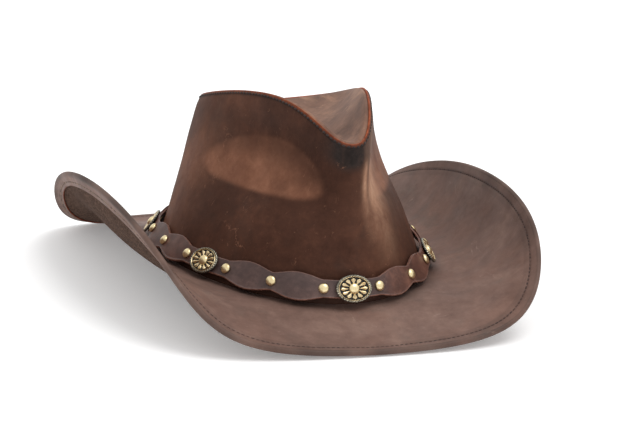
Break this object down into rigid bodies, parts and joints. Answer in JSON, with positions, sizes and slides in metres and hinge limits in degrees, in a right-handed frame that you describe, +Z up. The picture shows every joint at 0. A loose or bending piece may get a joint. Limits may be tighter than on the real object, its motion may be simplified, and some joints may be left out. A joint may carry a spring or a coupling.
{
  "type": "cowboy hat",
  "caption": "Leather cowboy hat with a pinched, creased crown, a wired brim curled up at the sides, and a scalloped strap with oval conchos and domed studs.",
  "frame": {"origin": "middle of the hat's footprint, on the surface it rests on", "axes": "+Z up out of the crown, -Y towards the hat's front, +X towards the wearer's left"},
  "size_m": [0.278, 0.355, 0.138],
  "materials": {
    "crown_leather": "oiled, mottled",
    "crown_tip_leather": "brushed, distressed",
    "thread": "waxed thread",
    "brim_leather": "matt, scuffed",
    "suede": "suede",
    "wire": "drawn wire",
    "sweatband_leather": "smooth",
    "strap_leather": "satin, burnished edges",
    "antique_brass": "polished",
    "concho_metal": "antiqued"
  },
  "bodies": {
    "hat": {"crown_side": "crown_leather", "crown_tip": "crown_tip_leather", "crown_stitching": "thread", "brim_top": "brim_leather", "brim_underlay": "suede", "brim_wire": "wire", "brim_stitching": "thread", "sweatband": "sweatband_leather", "foot_stitching": "thread"},
    "hat_band": {"hat_band_strap": "strap_leather", "stud_caps": "antique_brass", "concho_rivets": "antique_brass", "rivet_burrs": "antique_brass", "concho_front": "concho_metal", "concho_left_front": "concho_metal", "concho_left_rear": "concho_metal", "concho_rear": "concho_metal", "concho_right_rear": "concho_metal", "concho_right_front": "concho_metal"}
  },
  "joints": [
    {"name": "hat_band_lift", "type": "slide", "parent": "hat", "child": "hat_band", "axis": [0, 0, 1], "range_m": [0, 0.13]}
  ]
}
